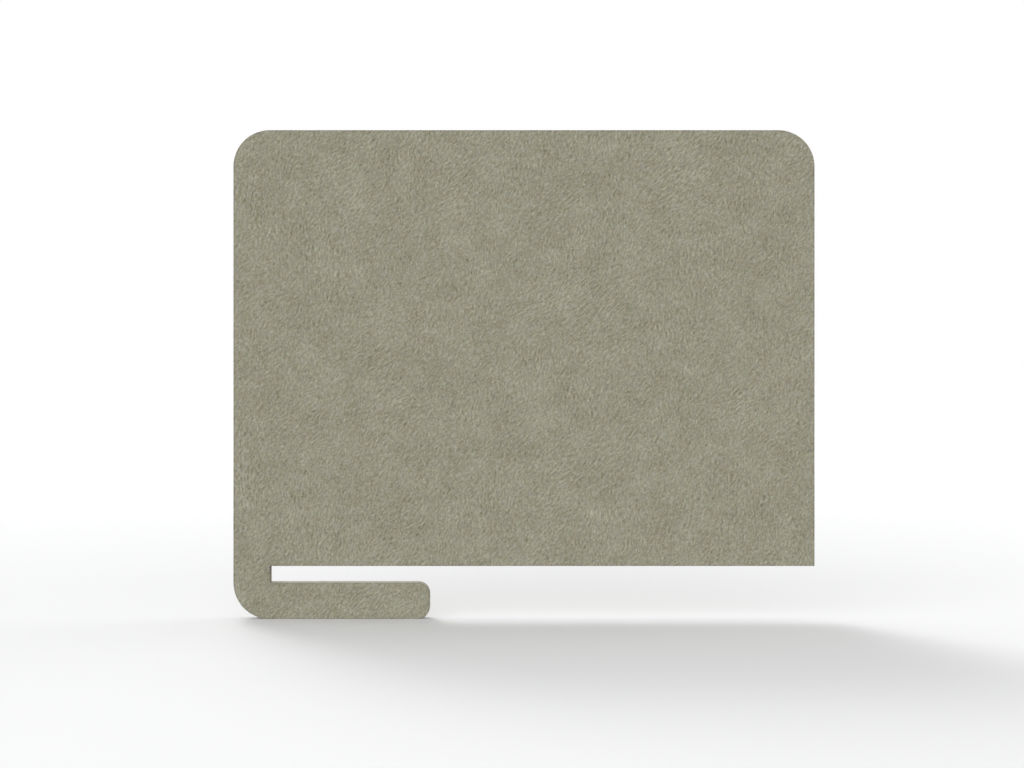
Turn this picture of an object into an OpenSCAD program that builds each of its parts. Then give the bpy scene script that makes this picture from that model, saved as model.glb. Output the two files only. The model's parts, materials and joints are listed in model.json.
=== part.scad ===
// Slide-on acoustic desk divider. The screen stands across a desktop on its long lower
// edge, and a hook cut from the same blank passes under the desktop, so that the desk's
// edge lies in the slot between the two. The blank is five flush plies: two felt faces
// on a stiff core board, joined by two adhesive films, then cut to one outline.
//
// Frame: X runs along the screen, Y through its thickness and Z up. The origin is where
// the slot's end wall meets the screen's lower edge, at mid thickness, so the top corner
// of the desk's edge lies on it. The front felt faces -Y.

/* [Screen] */
// Overall width, from the hook's outer edge to the free end
screen_w = 800; // [500:10:1600]
// Height above the desktop
screen_h = 600; // [300:10:900]
// Radius of the two top corners
top_corner_r = 50; // [5:5:120]

/* [Hook] */
// Width of the upright web that joins the screen to the arm
web_w = 50; // [30:1:120]
// Clear height of the slot, a millimetre more than the desktop it takes
slot_h = 23; // [15:0.5:45]
// Depth of the slot, from its end wall to the arm's tip
slot_depth = 220; // [100:5:400]
// Height of the arm that passes under the desktop
arm_h = 50; // [30:1:100]
// Radius of the hook's outer corner, at the heel
heel_r = 50; // [5:1:70]
// Radius of the two corners at the arm's tip
tip_r = 11; // [2:0.5:14]

/* [Plies] */
// Thickness of each felt face
felt_t = 9; // [3:0.5:15]
// Thickness of the core board
core_t = 5.5; // [3:0.5:12]
// Thickness of each adhesive film
bond_t = 0.25; // [0.1:0.05:0.5]

/* [Hidden] */

// Round cuts run past the blank's edge by this much
overrun = 5;
// Segments in a full circle
$fn = 96;

// Ends of the outline along X, and its levels along Z
left_x = -web_w;
right_x = screen_w - web_w;
arm_top_z = -slot_h;
arm_under_z = -slot_h - arm_h;

// Planes where the plies meet, from the core outwards
core_face_y = core_t / 2;
felt_back_y = core_face_y + bond_t;

felt_colour = [0.59, 0.57, 0.51];
core_colour = [0.50, 0.49, 0.43];
bond_colour = [0.80, 0.79, 0.72];

// What rounding takes off a square corner: a square less the round that stays. inward
// holds the signs of the two directions that lead from the corner into the blank.
module corner_waste(corner, inward, r) {
    centre = corner + r * inward;
    outside = corner - overrun * inward;
    difference() {
        translate([min(centre.x, outside.x), min(centre.y, outside.y)])
            square(r + overrun);
        translate(centre)
            circle(r);
    }
}

// The blank with every corner still square, in X and Z: up round the screen, then back
// along its lower edge and round the slot to the arm's tip.
module square_outline() {
    polygon([
        [slot_depth, arm_under_z],
        [left_x, arm_under_z],
        [left_x, screen_h],
        [right_x, screen_h],
        [right_x, 0],
        [0, 0],
        [0, arm_top_z],
        [slot_depth, arm_top_z]
    ]);
}

// The outline all the plies share. The slot's corners and the free end's lower corner
// stay square, because the desktop fills the one and the other stands on it.
module screen_outline() {
    difference() {
        square_outline();
        corner_waste([left_x, screen_h], [1, -1], top_corner_r);
        corner_waste([right_x, screen_h], [-1, -1], top_corner_r);
        corner_waste([left_x, arm_under_z], [1, 1], heel_r);
        corner_waste([slot_depth, arm_under_z], [-1, 1], tip_r);
        corner_waste([slot_depth, arm_top_z], [-1, -1], tip_r);
    }
}

// One ply of the given thickness, stood upright with its front side at front_y
module ply(front_y, thickness) {
    translate([0, front_y + thickness, 0])
        rotate([90, 0, 0])
            linear_extrude(thickness)
                screen_outline();
}

module front_felt() {
    color(felt_colour) ply(-felt_back_y - felt_t, felt_t);
}

module front_bond() {
    color(bond_colour) ply(-felt_back_y, bond_t);
}

module core_board() {
    color(core_colour) ply(-core_face_y, core_t);
}

module rear_bond() {
    color(bond_colour) ply(core_face_y, bond_t);
}

module rear_felt() {
    color(felt_colour) ply(felt_back_y, felt_t);
}

front_felt();
front_bond();
core_board();
rear_bond();
rear_felt();
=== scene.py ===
import json
import math

import bpy
import numpy as np
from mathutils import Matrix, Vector, noise
from mathutils.geometry import delaunay_2d_cdt


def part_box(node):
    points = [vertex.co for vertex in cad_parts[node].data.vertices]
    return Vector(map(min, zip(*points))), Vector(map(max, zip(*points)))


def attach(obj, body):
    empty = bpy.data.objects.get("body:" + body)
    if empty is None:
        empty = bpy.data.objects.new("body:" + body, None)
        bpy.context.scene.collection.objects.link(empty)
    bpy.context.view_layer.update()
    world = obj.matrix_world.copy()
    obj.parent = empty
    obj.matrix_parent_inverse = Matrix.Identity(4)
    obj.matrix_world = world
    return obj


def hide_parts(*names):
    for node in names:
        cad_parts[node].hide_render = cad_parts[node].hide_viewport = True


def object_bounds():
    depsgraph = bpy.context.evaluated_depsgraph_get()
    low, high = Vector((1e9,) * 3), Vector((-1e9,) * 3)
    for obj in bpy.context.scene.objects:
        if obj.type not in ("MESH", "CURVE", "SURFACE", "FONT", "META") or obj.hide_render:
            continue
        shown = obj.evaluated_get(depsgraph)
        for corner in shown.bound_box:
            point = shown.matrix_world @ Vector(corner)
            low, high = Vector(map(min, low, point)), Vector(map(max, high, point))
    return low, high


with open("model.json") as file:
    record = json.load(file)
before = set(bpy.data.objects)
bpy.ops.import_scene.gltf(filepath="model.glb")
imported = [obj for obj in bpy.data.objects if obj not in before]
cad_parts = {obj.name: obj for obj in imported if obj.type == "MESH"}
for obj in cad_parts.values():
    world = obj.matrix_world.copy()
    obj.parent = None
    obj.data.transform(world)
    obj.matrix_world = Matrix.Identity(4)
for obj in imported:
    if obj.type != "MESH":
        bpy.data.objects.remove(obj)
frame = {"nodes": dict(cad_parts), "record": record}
cad_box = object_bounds()

# The core board is the stiff middle ply, the same fibre as the felts but pressed hard.
# The plies are glued up as one blank, and a blade then cuts the hooked outline through
# all five at once, so the outline and the way of cutting it are worked out here.
MM = 0.001
TOP_CORNER_R = 50 * MM
HEEL_R = 50 * MM
# The tip is rounder than in the solids, as measured on the photograph.
TIP_R = 16 * MM
CUT_STEP = 2.5 * MM
ARC_STEP = math.radians(2.5)

CORE_RECESS = 0.12 * MM
CORE_ARRIS_R = 0.2 * MM
CORE_COLOUR = (0.205, 0.196, 0.150)
CORE_PALE = (0.285, 0.274, 0.215)
CORE_ROW = 0.6 * MM
CORE_RAGGED = 0.05 * MM

mounts = {m["name"]: Vector(m["pos_m"]) for m in frame["record"]["mounts"]}
blank_low, blank_high = (Vector(corner) for corner in cad_box)
slot_end = mounts["desk_edge_stop"].x
slot_roof = mounts["desktop_seat"].z
arm_top = mounts["arm_seat"].z
arm_tip = max(
    v.co.x for v in frame["nodes"]["core_board"].data.vertices if v.co.z < arm_top
)


def corner_run(before, corner, after, radius):
    """Points round one corner of the outline, each with the way into the blank."""
    way_in = (corner - before).normalized()
    way_out = (after - corner).normalized()
    left_in = Vector((-way_in.y, way_in.x))
    left_out = Vector((-way_out.y, way_out.x))
    if radius == 0:
        return [(corner, left_in + left_out)]
    centre = corner + radius * (left_in + left_out)
    steps = round(math.pi / 2 / ARC_STEP)
    run = []
    for i in range(steps + 1):
        turn = i / steps * math.pi / 2
        inward = left_in * math.cos(turn) + left_out * math.sin(turn)
        run.append((centre - radius * inward, inward))
    return run


def cut_outline():
    """The outline that every ply is cut to, anticlockwise seen from the front."""
    corners = [
        (arm_tip, blank_low.z, TIP_R),
        (arm_tip, arm_top, TIP_R),
        (slot_end, arm_top, 0),
        (slot_end, slot_roof, 0),
        (blank_high.x, slot_roof, 0),
        (blank_high.x, blank_high.z, TOP_CORNER_R),
        (blank_low.x, blank_high.z, TOP_CORNER_R),
        (blank_low.x, blank_low.z, HEEL_R),
    ]
    runs = []
    for i, (x, z, radius) in enumerate(corners):
        before = Vector(corners[i - 1][:2])
        after = Vector(corners[(i + 1) % len(corners)][:2])
        runs.append(corner_run(before, Vector((x, z)), after, radius))
    points = []
    for i, run in enumerate(runs):
        points += run
        start = run[-1][0]
        end = runs[(i + 1) % len(runs)][0][0]
        count = max(1, round((end - start).length / CUT_STEP))
        along = (end - start).normalized()
        inward = Vector((-along.y, along.x))
        points += [(start.lerp(end, k / count), inward) for k in range(1, count)]
    return points


outline, inward = (np.array([pair[i][:] for pair in cut_outline()]) for i in (0, 1))


def cut_ring(y, inset, ragged=0.0, seed=0.0):
    """The outline at depth y, drawn in by inset, with the slight steps of torn fibre."""
    grain_along = 5 * MM
    grain_across = 1.1 * MM
    rough = np.array([
        noise.noise(Vector((x / grain_along, y / grain_across + seed, z / grain_along)))
        for x, z in outline
    ])
    flat = outline + (inset + ragged * rough)[:, None] * inward
    return np.column_stack((flat[:, 0], np.full(len(flat), y), flat[:, 1]))


def arris(face_y, radius, into, steps):
    """Rounding from a face to the cut edge: depth and inset at each step."""
    turns = [k / steps * math.pi / 2 for k in range(steps + 1)]
    return [(face_y + into * radius * (1 - math.cos(t)), radius * (1 - math.sin(t))) for t in turns]


def cut_rows(start_y, end_y, start_r, end_r, row, recess, ragged, seed):
    """Rings of a ply's cut edge, from one side of the ply to the other."""
    into = 1 if end_y > start_y else -1
    span = abs(end_y - start_y) - start_r - end_r
    count = round(span / row)
    profile = arris(start_y, start_r, into, 4)
    profile += [(start_y + into * (start_r + span * k / count), 0) for k in range(1, count)]
    profile += arris(end_y, end_r, -into, 2)[::-1]
    last = len(profile) - 1
    return [
        cut_ring(y, recess + inset, ragged if 0 < k < last else 0, seed)
        for k, (y, inset) in enumerate(profile)
    ]


def filled(boundary, inner):
    """Triangles that fill a flat boundary, through the inner points too."""
    flat = [Vector((x, z)) for x, y, z in (*boundary, *inner)]
    loop = list(range(len(boundary)))
    fill = delaunay_2d_cdt(flat, [], [loop], 1, 1e-9)
    return [[fill[3][i][0] for i in face] for face in fill[2]]


def ply(name, rows, inner=()):
    """A closed ply from its rings. The inner points lie on the side of the first ring."""
    count = len(outline)
    inner = np.array(inner).reshape(-1, 3)
    verts = np.vstack((*rows, inner))
    ring = np.arange(count)
    after = np.roll(ring, -1)
    faces = []
    for r in range(len(rows) - 1):
        a, b = ring + r * count, after + r * count
        faces += np.column_stack((a, a + count, b + count, b)).tolist()
    to_last = (len(rows) - 1) * count
    for face in filled(rows[0], inner):
        faces.append([i if i < count else i + to_last for i in face])
    for face in filled(rows[-1], ()):
        faces.append([i + to_last for i in reversed(face)])
    if rows[0][0, 1] > rows[-1][0, 1]:
        faces = [face[::-1] for face in faces]
    mesh = bpy.data.meshes.new(name)
    mesh.from_pydata(verts.tolist(), [], faces)
    mesh.update()
    mesh.shade_smooth()
    mesh.set_sharp_from_angle(angle=math.radians(50))
    piece = bpy.data.objects.new(name, mesh)
    bpy.context.scene.collection.objects.link(piece)
    return piece


def wire(tree, kind, inputs=None, **settings):
    """One shader node. An input takes a plain value or another node's output."""
    node = tree.nodes.new("ShaderNode" + kind)
    for name, value in settings.items():
        setattr(node, name, value)
    for name, value in (inputs or {}).items():
        if isinstance(value, bpy.types.NodeSocket):
            tree.links.new(value, node.inputs[name])
        else:
            node.inputs[name].default_value = value
    return node


def calc(tree, operation, *values, clamp=False):
    """Arithmetic on numbers or outputs."""
    inputs = dict(enumerate(values))
    return wire(tree, "Math", inputs, operation=operation, use_clamp=clamp).outputs[0]


def move(tree, operation, first, second):
    """Arithmetic on vectors, or a vector times a number for SCALE."""
    slot = "Scale" if operation == "SCALE" else 1
    return wire(tree, "VectorMath", {0: first, slot: second}, operation=operation).outputs[0]


def blank_finish(name):
    """A new material with its tree, its shader and the place on the piece in millimetres."""
    finish = bpy.data.materials.new(name)
    finish.use_nodes = True
    tree = finish.node_tree
    place = move(tree, "SCALE", wire(tree, "TexCoord").outputs["Object"], 1 / MM)
    return finish, tree, tree.nodes["Principled BSDF"], place


def cut_grain(tree, place, along, across, seed, detail=2.0):
    """Streaks that run along the cut edge and lie fine across its thickness, about 0."""
    spread = move(tree, "MULTIPLY", place, (1 / along, 1 / across, 1 / along))
    shifted = move(tree, "ADD", spread, (seed, -seed, 2 * seed))
    streak = wire(tree, "TexNoise", {"Vector": shifted, "Scale": 1.0, "Detail": detail})
    return calc(tree, "SUBTRACT", streak.outputs[0], 0.5)


def cut_finish(name, dark, pale, along, across, depth):
    """The look of a cut edge: fibre ends in layers, between two tones."""
    finish, tree, shader, place = blank_finish(name)
    layers = cut_grain(tree, place, along, across, 3.7)
    ends = cut_grain(tree, place, 1.6, 1.1, 11.3, 1.0)
    broad = cut_grain(tree, place, 45.0, 30.0, 23.9, 0.0)
    tone = calc(tree, "MULTIPLY_ADD", layers, 1.5, 0.5)
    tone = calc(tree, "MULTIPLY_ADD", ends, 0.9, tone)
    tone = calc(tree, "MULTIPLY_ADD", broad, 0.6, tone, clamp=True)
    blend = wire(tree, "Mix", {"Factor": tone}, data_type="RGBA")
    blend.inputs["A"].default_value = (*dark, 1)
    blend.inputs["B"].default_value = (*pale, 1)
    tree.links.new(blend.outputs["Result"], shader.inputs["Base Color"])
    rough = calc(tree, "MULTIPLY_ADD", ends, 0.2, 0.80)
    tree.links.new(rough, shader.inputs["Roughness"])
    height = calc(tree, "ADD", layers, ends)
    bump = wire(tree, "Bump", {"Height": height, "Distance": depth, "Strength": 0.6})
    tree.links.new(bump.outputs[0], shader.inputs["Normal"])
    shader.inputs["Specular IOR Level"].default_value = 0.25
    shader.inputs["Sheen Weight"].default_value = 0.3
    shader.inputs["Sheen Tint"].default_value = (1.0, 0.95, 0.78, 1)
    return finish


core_low, core_high = (Vector(corner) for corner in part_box("core_board"))
core_piece = ply("core_board_cut", cut_rows(
    core_low.y, core_high.y, CORE_ARRIS_R, CORE_ARRIS_R, CORE_ROW, CORE_RECESS, CORE_RAGGED, 5.0))
core_finish = cut_finish("core_pressed", CORE_COLOUR, CORE_PALE, 9.0, 0.55, 0.15 * MM)
core_piece.data.materials.append(core_finish)
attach(core_piece, "root")
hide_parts("core_board")

# The two adhesive films are thin webs of hot melt that hold a felt to each side of the
# core. The blade pulls them in a little, so each shows as a fine uneven line, set back
# in the cut edge.
FILM_RECESS = 0.3 * MM
FILM_UNEVEN = 0.22 * MM
FILM_COLOUR = (0.50, 0.48, 0.39)
FILM_DULL = (0.36, 0.345, 0.27)


def film_finish():
    """Set glue: smooth, slightly glossy, cloudy where it soaked into the fibre."""
    finish, tree, shader, place = blank_finish("hot_melt")
    cloud = wire(tree, "TexNoise", {"Vector": place, "Scale": 0.35, "Detail": 2.0}).outputs[0]
    blend = wire(tree, "Mix", {"Factor": cloud}, data_type="RGBA")
    blend.inputs["A"].default_value = (*FILM_COLOUR, 1)
    blend.inputs["B"].default_value = (*FILM_DULL, 1)
    tree.links.new(blend.outputs["Result"], shader.inputs["Base Color"])
    rough = calc(tree, "MULTIPLY_ADD", cloud, 0.3, 0.3)
    tree.links.new(rough, shader.inputs["Roughness"])
    bump = wire(tree, "Bump", {"Height": cloud, "Distance": 0.1 * MM, "Strength": 0.5})
    tree.links.new(bump.outputs[0], shader.inputs["Normal"])
    return finish


glue = film_finish()
for seed, side in enumerate(("front", "rear")):
    low, high = (Vector(corner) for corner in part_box(side + "_bond"))
    rings = [cut_ring(y, FILM_RECESS, FILM_UNEVEN, 20.0 + seed) for y in (low.y, high.y)]
    film = ply(side + "_bond_film", rings)
    film.data.materials.append(glue)
    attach(film, "root")
    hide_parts(side + "_bond")

# The two felt faces are needled polyester fibre, pressed to 9 mm board. Their outer
# sides show tangled fibre with a slight lean, and the blade leaves their outer edges
# just eased, with painted shade darkening the face along them.
FELT_ARRIS_R = 0.5 * MM
FELT_GLUE_R = 0.25 * MM
FELT_ROW = 0.7 * MM
FELT_RAGGED = 0.07 * MM
RIM_RINGS = {2.1 * MM: 0.0, 1.3 * MM: 0.5}
# Painted shade: how much darker the face colour is painted along its eased edges.
RIM_PAINTED_SHADE = 0.15
FACE_STEP = 4.6 * MM
FACE_RISE = 0.13 * MM
FACE_MARGIN = 9 * MM

FELT_COLOUR = (0.303, 0.288, 0.219)
FELT_LIFT = (0.312, 0.306, 0.272)
FLECK_WARM = (0.011, -0.003, -0.022)
FLECK_GREEN = (-0.017, 0.012, -0.030)
FELT_CUT_DARK = (0.235, 0.224, 0.172)
FELT_CUT_PALE = (0.352, 0.338, 0.270)
# Strands of fibre: lean in degrees from the X axis, length and width in mm, and share.
SHORT = ((60, 3.1, 2.5, 0.40),)
UPRIGHT = ((75, 7.9, 2.7, 0.25), (92, 7.9, 2.7, 0.22))
SLANTED = ((49, 7.9, 2.7, 0.25), (34, 7.9, 2.7, 0.20))
SHADED_SIDE = 2.4
SHADED_SHARE = 0.25
CURLS = ((84, 8.8, 3.4), (58, 8.8, 3.3), (104, 8.0, 3.3), (34, 8.0, 3.3))
CURL_FINE = 9.0
CURL_SHARE = 0.10
# Soft patches: size in mm, share and seed.
CLOUDS = ((22.0, 0.14, 30), (42.0, 0.13, 154), (90.0, 0.09, 865))
TONE_MIDDLE = 0.080
# Where the fibre lies more upright or more slanted, and how far it wanders, in mm.
COMBED_SIZE = 85.0
COMBED_SHARE = 2.4
WANDER_SIZE = 19.0
WANDER = 5.0


def inside(points, boundary):
    """Which of the points lie inside a boundary, by counting the edges to their right."""
    x, z = points[:, 0], points[:, 1]
    hits = np.zeros(len(points), dtype=int)
    for (x0, z0), (x1, z1) in zip(boundary, np.roll(boundary, -1, axis=0)):
        if z0 == z1:
            continue
        crosses = (z0 > z) != (z1 > z)
        hits += crosses & (x < x0 + (z - z0) * (x1 - x0) / (z1 - z0))
    return hits % 2 == 1


def face_rise(x, z, seed):
    """How far the fibre stands proud of the board, in soft swells and small tufts."""
    swell = noise.noise(Vector((x, seed, z)) / (38 * MM))
    tuft = noise.noise(Vector((x, seed, z)) / (11 * MM))
    return FACE_RISE * (0.65 * swell + 0.35 * tuft)


def felt_ply(name, node, seed, rng):
    """One felt, built from its outer side to its glued side."""
    low, high = (Vector(corner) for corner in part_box(node))
    proud = -1 if high.y < 0 else 1
    outer_y, glued_y = (low.y, high.y) if proud < 0 else (high.y, low.y)
    rows = [cut_ring(outer_y, inset) for inset in RIM_RINGS]
    rows += cut_rows(
        outer_y, glued_y, FELT_ARRIS_R, FELT_GLUE_R, FELT_ROW, 0, FELT_RAGGED, seed)
    steps_x = np.arange(blank_low.x, blank_high.x, FACE_STEP)
    steps_z = np.arange(blank_low.z, blank_high.z, FACE_STEP)
    grid = np.array([(x, z) for x in steps_x for z in steps_z])
    grid += rng.uniform(-0.3, 0.3, grid.shape) * FACE_STEP
    grid = grid[inside(grid, outline + (max(RIM_RINGS) + FACE_STEP / 3) * inward)]
    share = np.where(inside(grid, outline + FACE_MARGIN * inward), 1.0, 0.4)
    inner = [
        (x, outer_y + proud * k * face_rise(x, z, seed), z) for (x, z), k in zip(grid, share)
    ]
    piece = ply(name, rows, inner)
    # Painted shade along the rim: none inside the face, rising to full at the eased edge and the cut.
    rim = list(RIM_RINGS.values())
    rim += [1.0] * (len(rows) - len(rim))
    rim_painted_shade = np.concatenate((np.repeat(rim, len(outline)), np.zeros(len(inner))))
    piece.data.attributes.new("rim", "FLOAT", "POINT").data.foreach_set("value", rim_painted_shade)
    return piece


def strands(tree, flat, angle, length, width, seed, aside=0.0):
    """Noise drawn out along one lean, from -0.5 to 0.5, moved aside if asked."""
    lean = math.radians(angle)
    turned = wire(tree, "Mapping", {
        "Vector": flat,
        "Location": (seed * 137.0 - aside * math.sin(lean), seed * 71.0 + aside * math.cos(lean), 0),
        "Rotation": (0, 0, lean),
        "Scale": (length, width, 1),
    }, vector_type="TEXTURE").outputs[0]
    drawn = wire(tree, "TexNoise", {"Vector": turned, "Scale": 1.0, "Detail": 0.0}, noise_dimensions="2D")
    return calc(tree, "SUBTRACT", drawn.outputs[0], 0.5)


def curls(tree, flat, angle, length, width, seed):
    """Thin curled lines of fibre, along the middle of drawn-out noise."""
    line = calc(tree, "ABSOLUTE", strands(tree, flat, angle, length, width, seed))
    return calc(tree, "SUBTRACT", 1.0, calc(tree, "MULTIPLY", line, CURL_FINE), clamp=True)


def total(tree, terms):
    """The sum of outputs, each times its share."""
    result = 0.0
    for value, share in terms:
        result = calc(tree, "MULTIPLY_ADD", value, share, result)
    return result


def layer(tree, flat, lies, seed, aside=0.0):
    """Several sets of strands, each with its share."""
    return total(tree, [
        (strands(tree, flat, *lie, seed + i, aside), share) for i, (*lie, share) in enumerate(lies)
    ])


def shaded_layer(tree, flat, lies, seed):
    """Strands that each have a darker side, where they shade the felt beside them."""
    shade = layer(tree, flat, lies, seed, SHADED_SIDE)
    return calc(tree, "MULTIPLY_ADD", shade, -SHADED_SHARE, layer(tree, flat, lies, seed))


def felt_finish(name, shift):
    """The look of a felt's outer side. The shift sets the two felts apart."""
    finish, tree, shader, place = blank_finish(name)
    axes = wire(tree, "SeparateXYZ", {0: place}).outputs
    across = calc(tree, "ADD", axes["X"], shift)
    flat = wire(tree, "CombineXYZ", {"X": across, "Y": axes["Z"]}).outputs[0]
    drift = wire(tree, "TexNoise", {
        "Vector": flat,
        "Scale": 1 / WANDER_SIZE,
        "Detail": 0.0,
    }, noise_dimensions="2D").outputs["Color"]
    drift = move(tree, "SUBTRACT", drift, (0.5, 0.5, 0.5))
    bent = move(tree, "ADD", flat, move(tree, "SCALE", drift, WANDER))

    combed = strands(tree, flat, 60, 1.3 * COMBED_SIZE, COMBED_SIZE, 41)
    more = calc(tree, "MULTIPLY_ADD", combed, COMBED_SHARE, 1.0)
    less = calc(tree, "MULTIPLY_ADD", combed, -COMBED_SHARE, 1.0)
    fibre = total(tree, [
        (layer(tree, bent, SHORT, 1), 1.0),
        (shaded_layer(tree, bent, UPRIGHT, 11), more),
        (shaded_layer(tree, bent, SLANTED, 21), less),
    ])
    curl = total(tree, [(curls(tree, bent, *lie, 50 + i), 1.0) for i, lie in enumerate(CURLS)])
    cloud = total(tree, [
        (strands(tree, flat, 0, size, size, seed), share) for size, share, seed in CLOUDS
    ])
    tone = total(tree, [(fibre, 1.0), (cloud, 1.0), (curl, CURL_SHARE)])
    tone = calc(tree, "SUBTRACT", tone, TONE_MIDDLE)

    colour = move(tree, "ADD", FELT_COLOUR, move(tree, "SCALE", FELT_LIFT, tone))
    warm = strands(tree, bent, 60, 9.0, 6.0, 61)
    colour = move(tree, "ADD", colour, move(tree, "SCALE", FLECK_WARM, warm))
    green = calc(tree, "MAXIMUM", strands(tree, bent, 90, 12.0, 8.0, 67), 0.0)
    colour = move(tree, "ADD", colour, move(tree, "SCALE", FLECK_GREEN, green))
    # Painted shade: the face colour is darkened along the rim.
    rim = wire(tree, "Attribute", attribute_name="rim").outputs["Fac"]
    colour = move(tree, "SCALE", colour, calc(tree, "MULTIPLY_ADD", rim, -RIM_PAINTED_SHADE, 1.0))
    tree.links.new(colour, shader.inputs["Base Color"])

    rough = calc(tree, "MULTIPLY_ADD", curl, -0.08, 0.94)
    tree.links.new(rough, shader.inputs["Roughness"])
    height = total(tree, [(curl, 0.35), (fibre, 1.2)])
    bump = wire(tree, "Bump", {"Height": height, "Distance": 0.35 * MM, "Strength": 0.5})
    tree.links.new(bump.outputs[0], shader.inputs["Normal"])
    shader.inputs["Specular IOR Level"].default_value = 0.15
    shader.inputs["Sheen Weight"].default_value = 0.1
    shader.inputs["Sheen Roughness"].default_value = 0.5
    return finish


felt_cut = cut_finish("felt_cut_edge", FELT_CUT_DARK, FELT_CUT_PALE, 6.0, 0.9, 0.25 * MM)
rng = np.random.default_rng(9)
for seed, side in enumerate(("front", "rear")):
    felt = felt_ply(side + "_felt_cut", side + "_felt", 40.0 + 7 * seed, rng)
    felt.data.materials.append(felt_finish(side + "_felt_face", 900.0 * seed))
    felt.data.materials.append(felt_cut)
    for polygon in felt.data.polygons:
        polygon.material_index = 0 if abs(polygon.normal.y) > 0.7 else 1
    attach(felt, "root")
    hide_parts(side + "_felt")

# Loose fibres lie on the felt's outer sides and along the cut: coarse pale ends that the
# needles didn't take down, held at both ends and standing just clear in the middle.
HAIR_COUNT = 1800
HAIR_LENGTH = (8 * MM, 22 * MM)
HAIR_WIDTH = (0.18 * MM, 0.36 * MM)
HAIR_HEIGHT = 0.16 * MM
HAIR_SUNK = 0.10 * MM
HAIR_POINTS = 7
HAIR_TAPER = (0.3, 0.8, 1.0, 1.0, 1.0, 0.8, 0.3)
HAIR_COLOUR = (0.400, 0.388, 0.318)
HAIR_PALE = (0.500, 0.490, 0.420)
EDGE_HAIR_COUNT = 700
EDGE_HAIR_LENGTH = (4 * MM, 12 * MM)
EDGE_HAIR_WIDTH = (0.12 * MM, 0.26 * MM)


def fibre_mesh(name, paths, outs, widths, height):
    """Closed three-sided threads along many paths at once."""
    taper = np.array(HAIR_TAPER)[None, :, None]
    side = np.cross(np.gradient(paths, axis=1), outs)
    side /= np.linalg.norm(side, axis=2, keepdims=True)
    half = side * taper * widths[:, None, None] / 2
    crest = outs * taper * height
    verts = np.stack((paths - half, paths + crest, paths + half), axis=2)
    many, length = paths.shape[:2]
    first = np.arange(many)[:, None] * length * 3
    faces = []
    for k in range(length - 1):
        for j in range(3):
            a, b = 3 * k + j, 3 * k + (j + 1) % 3
            faces += (first + np.array([a, b, b + 3, a + 3])).tolist()
    end = 3 * (length - 1)
    faces += (first + np.array([2, 1, 0])).tolist()
    faces += (first + np.array([end, end + 1, end + 2])).tolist()
    mesh = bpy.data.meshes.new(name)
    mesh.from_pydata(verts.reshape(-1, 3).tolist(), [], faces)
    mesh.update()
    mesh.shade_smooth()
    piece = bpy.data.objects.new(name, mesh)
    bpy.context.scene.collection.objects.link(piece)
    return piece


def face_paths(node, seed, rng):
    """Paths of loose fibres on one felt's outer side, and the way out of it."""
    low, high = (Vector(corner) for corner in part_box(node))
    proud = -1 if high.y < 0 else 1
    outer_y = low.y if proud < 0 else high.y
    tries = 2 * HAIR_COUNT
    start = rng.uniform((blank_low.x, blank_low.z), (blank_high.x, blank_high.z), (tries, 2))
    lean = rng.choice([angle for angle, *_ in UPRIGHT + SLANTED], tries) + rng.normal(0, 10, tries)
    lean = np.radians(lean)
    turn = rng.normal(0, 0.16, tries)
    swing = rng.normal(0, 0.22, tries)
    step = rng.uniform(*HAIR_LENGTH, tries) / (HAIR_POINTS - 1)
    k = np.arange(HAIR_POINTS)
    heading = lean[:, None] + turn[:, None] * k + swing[:, None] * np.sin(1.3 * k)
    walk = np.stack((np.cos(heading), np.sin(heading)), axis=2) * step[:, None, None]
    flat = start[:, None] + np.cumsum(walk, axis=1)
    room = outline + 2 * MM * inward
    kept = inside(flat.reshape(-1, 2), room).reshape(tries, HAIR_POINTS).all(axis=1)
    flat = flat[kept][:HAIR_COUNT]
    rise = np.array([[face_rise(x, z, seed) for x, z in path] for path in flat])
    lift = HAIR_SUNK * (1.4 * np.sin(math.pi * k / (HAIR_POINTS - 1)) - 1)
    y = outer_y + proud * (rise + lift)
    return np.stack((flat[..., 0], y, flat[..., 1]), axis=2), np.array((0.0, proud, 0.0))


def edge_paths(rng):
    """Paths of loose fibres along the cut edge, and the way out at each point."""
    gaps = np.linalg.norm(np.roll(outline, -1, axis=0) - outline, axis=1)
    along = np.concatenate(([0], np.cumsum(gaps)))
    ring = np.vstack((outline, outline[:1]))
    ways = np.vstack((inward, inward[:1]))
    ways /= np.linalg.norm(ways, axis=1, keepdims=True)
    start = rng.uniform(0, along[-1], EDGE_HAIR_COUNT)
    y = rng.uniform(blank_low.y + 1 * MM, blank_high.y - 1 * MM, EDGE_HAIR_COUNT)
    lean = rng.normal(0, 0.22, EDGE_HAIR_COUNT)
    step = rng.uniform(*EDGE_HAIR_LENGTH, EDGE_HAIR_COUNT) / (HAIR_POINTS - 1)
    k = np.arange(HAIR_POINTS)
    s = (start[:, None] + step[:, None] * np.cos(lean)[:, None] * k) % along[-1]
    x, z, way_x, way_z = (
        np.interp(s, along, column) for column in (ring[:, 0], ring[:, 1], ways[:, 0], ways[:, 1]))
    y = y[:, None] + step[:, None] * np.sin(lean)[:, None] * k
    straight = (np.hypot(np.diff(way_x), np.diff(way_z)) < 0.3).all(axis=1)
    kept = straight & (np.abs(y) < blank_high.y - FELT_ARRIS_R).all(axis=1)
    lift = 0.4 * HAIR_SUNK * np.sin(math.pi * k / (HAIR_POINTS - 1)) - 0.5 * HAIR_SUNK
    paths = np.stack((x - lift * way_x, y, z - lift * way_z), axis=2)
    outs = np.stack((-way_x, np.zeros_like(x), -way_z), axis=2)
    return paths[kept], outs[kept]


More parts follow.
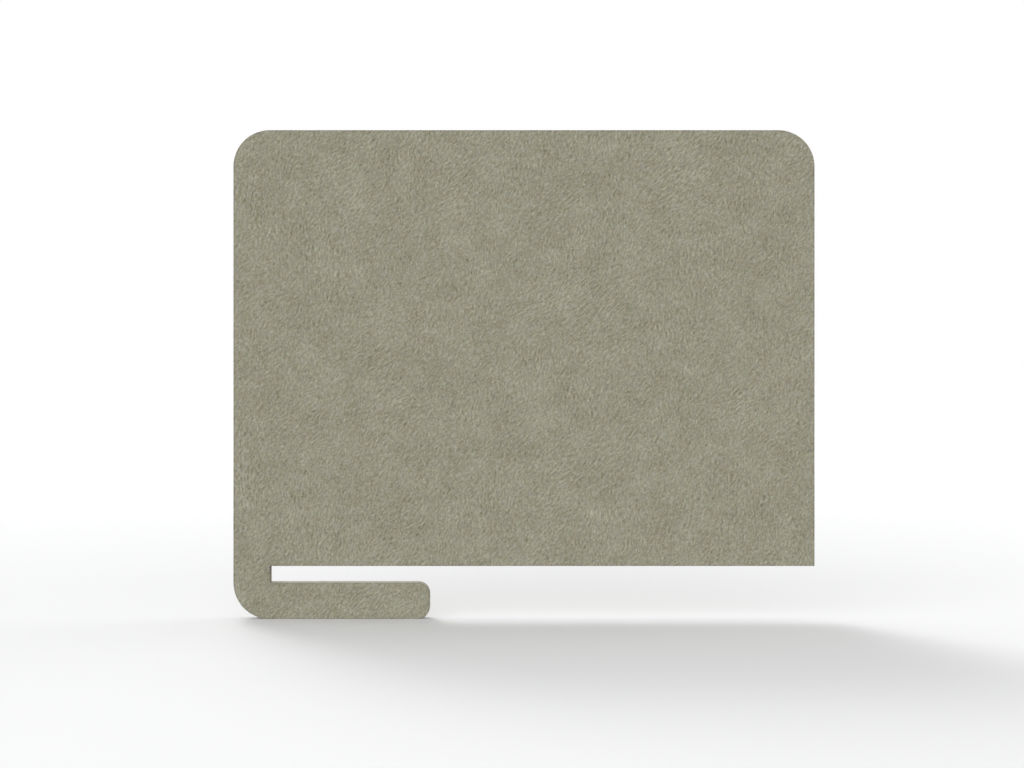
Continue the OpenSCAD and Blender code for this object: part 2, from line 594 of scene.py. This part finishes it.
def hair_finish():
    """Undyed and dyed polyester ends: paler than the felt, with a soft shine."""
    finish, tree, shader, place = blank_finish("loose_fibre")
    tone = wire(tree, "TexNoise", {"Vector": place, "Scale": 0.12, "Detail": 1.0}).outputs[0]
    tone = calc(tree, "MULTIPLY_ADD", tone, 3.0, -1.0, clamp=True)
    blend = wire(tree, "Mix", {"Factor": tone}, data_type="RGBA")
    blend.inputs["A"].default_value = (*HAIR_COLOUR, 1)
    blend.inputs["B"].default_value = (*HAIR_PALE, 1)
    tree.links.new(blend.outputs["Result"], shader.inputs["Base Color"])
    scales = wire(tree, "TexNoise", {"Vector": place, "Scale": 2.5, "Detail": 1.0}).outputs[0]
    rough = calc(tree, "MULTIPLY_ADD", scales, 0.3, 0.6)
    tree.links.new(rough, shader.inputs["Roughness"])
    shader.inputs["Specular IOR Level"].default_value = 0.3
    return finish


hair = hair_finish()
rng = np.random.default_rng(23)
for seed, side in enumerate(("front", "rear")):
    paths, out = face_paths(side + "_felt", 40.0 + 7 * seed, rng)
    widths = rng.uniform(*HAIR_WIDTH, len(paths))
    fibres = fibre_mesh(side + "_loose_fibres", paths, np.broadcast_to(out, paths.shape), widths, HAIR_HEIGHT)
    fibres.data.materials.append(hair)
    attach(fibres, "root")
paths, outs = edge_paths(rng)
widths = rng.uniform(*EDGE_HAIR_WIDTH, len(paths))
fibres = fibre_mesh("edge_loose_fibres", paths, outs, widths, HAIR_HEIGHT)
fibres.data.materials.append(hair)
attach(fibres, "root")

# The floor is a wide white sheet. The screen stands on its arm there, as photographed,
# and the paper grows whiter further off, so that it runs into the white background.
FLOOR_RADIUS = 400.0
FLOOR_SIDES = 96
# The near paper is a touch blue: a painted tint that cancels the warm light the felt throws onto it.
FLOOR_WHITE = (0.898, 0.900, 0.908)
FLOOR_NEAR = 0.6
FLOOR_FAR = 4.0
FLOOR_BOUNCE = 0.2

floor_mesh = bpy.data.meshes.new("floor")
turns = [math.tau * k / FLOOR_SIDES for k in range(FLOOR_SIDES)]
rim = [(FLOOR_RADIUS * math.cos(t), FLOOR_RADIUS * math.sin(t), blank_low.z) for t in turns]
floor_mesh.from_pydata(rim, [], [list(range(FLOOR_SIDES))])
floor = bpy.data.objects.new("floor", floor_mesh)
bpy.context.scene.collection.objects.link(floor)


def seen_plainly(tree):
    """1 for what the camera, a reflection or clear glass sees, 0 for light that spreads."""
    path = wire(tree, "LightPath").outputs
    mirrored = calc(tree, "MAXIMUM", path["Is Glossy Ray"], path["Is Transmission Ray"])
    return calc(tree, "MAXIMUM", path["Is Camera Ray"], mirrored)


paper = bpy.data.materials.new("white_paper")
paper.use_nodes = True
tree = paper.node_tree
tree.nodes.clear()
place = wire(tree, "TexCoord").outputs["Object"]
reach = wire(tree, "VectorMath", {0: place}, operation="LENGTH").outputs["Value"]
far = wire(tree, "MapRange", {"Value": reach, "From Min": FLOOR_NEAR, "From Max": FLOOR_FAR}).outputs[0]
white = wire(tree, "Mix", {"Factor": far}, data_type="RGBA")
white.inputs["A"].default_value = (*FLOOR_WHITE, 1)
white.inputs["B"].default_value = (1, 1, 1, 1)
sheet = wire(tree, "BsdfDiffuse", {"Color": white.outputs["Result"]})
bounce = wire(tree, "Emission", {"Color": (1, 1, 1, 1), "Strength": FLOOR_BOUNCE})
choice = wire(tree, "MixShader", {0: seen_plainly(tree), 1: bounce.outputs[0], 2: sheet.outputs[0]})
wire(tree, "OutputMaterial", {"Surface": choice.outputs[0]})
floor_mesh.materials.append(paper)

# Soft boxes in a white room: small strong ones high behind the screen throw its shadow
# forward, and broad ones in front, above and beside it light the felt evenly. Each has an
# azimuth from +Y towards +X, an elevation and two half widths, in degrees, and a radiance.
SOFT_BOXES = {
    "high_behind": (-19, 34, 7, 9.5, 6.8),
    "higher_behind": (-19, 41, 7, 6, 4.4),
    "left_behind": (-27, 34, 5, 8, 4.1),
    "low_behind": (-14, 5, 21, 8.5, 3.1),
    "front": (190, 17, 19, 18.5, 1.7),
    "low_front": (187, 3, 16, 6, 10.4),
    "overhead": (0, 69, 36, 16, 1.2),
    "front_right": (143, 33, 16, 13.5, 0.7),
    "front_left": (225, 30, 16, 13.5, 1.3),
    "left": (-80, 14, 20, 12, 0.9),
    "right": (80, 14, 20, 12, 2.1),
}

room = bpy.data.worlds.new("room")
bpy.context.scene.world = room
room.use_nodes = True
tree = room.node_tree
tree.nodes.clear()
sight = wire(tree, "TexCoord").outputs["Generated"]


def along(way):
    """How far the line of sight goes along a direction."""
    return wire(tree, "VectorMath", {0: sight, 1: way}, operation="DOT_PRODUCT").outputs["Value"]


def soft_box(azimuth, elevation, wide, high):
    """A soft-edged patch of light, 1 at its middle."""
    a, e, wide, high = (math.radians(v) for v in (azimuth, elevation, wide, high))
    middle = Vector((math.cos(e) * math.sin(a), math.cos(e) * math.cos(a), math.sin(e)))
    sideways = Vector((math.cos(a), -math.sin(a), 0))
    upward = sideways.cross(middle)
    u = calc(tree, "POWER", calc(tree, "DIVIDE", along(sideways), math.sin(wide)), 2)
    v = calc(tree, "POWER", calc(tree, "DIVIDE", along(upward), math.sin(high)), 2)
    bell = calc(tree, "EXPONENT", calc(tree, "MULTIPLY", calc(tree, "ADD", u, v), -0.5))
    return calc(tree, "MULTIPLY", bell, calc(tree, "GREATER_THAN", along(middle), 0))


glow = total(tree, [(soft_box(*shape), radiance) for *shape, radiance in SOFT_BOXES.values()])
light = wire(tree, "Background", {"Color": (1, 1, 1, 1), "Strength": glow})
wall = wire(tree, "Background", {"Color": (1, 1, 1, 1), "Strength": 1.0})
choice = wire(tree, "MixShader", {0: seen_plainly(tree), 1: light.outputs[0], 2: wall.outputs[0]})
wire(tree, "OutputWorld", {"Surface": choice.outputs[0]})

# The camera stands level and square to the front, its sight on the middle of the picture,
# at a distance that shows the same slivers of the slot's walls as the photograph.
PICTURE_W = 1024
PIXEL_AT_FACE = 1.3765 * MM
CAMERA_DISTANCE = 2.85
SIGHT_FROM_SLOT = (333.5 * MM, 250.5 * MM)

camera_data = bpy.data.cameras.new("camera")
camera_data.sensor_width = 36
camera_data.lens = camera_data.sensor_width * CAMERA_DISTANCE / (PIXEL_AT_FACE * PICTURE_W)
camera_data.clip_end = 3 * FLOOR_RADIUS
camera = bpy.data.objects.new("camera", camera_data)
camera.location = (
    slot_end + SIGHT_FROM_SLOT[0], blank_low.y - CAMERA_DISTANCE, slot_roof + SIGHT_FROM_SLOT[1])
camera.rotation_euler = (math.pi / 2, 0, 0)
bpy.context.scene.collection.objects.link(camera)
bpy.context.scene.camera = camera
bpy.context.scene.view_settings.view_transform = "Standard"
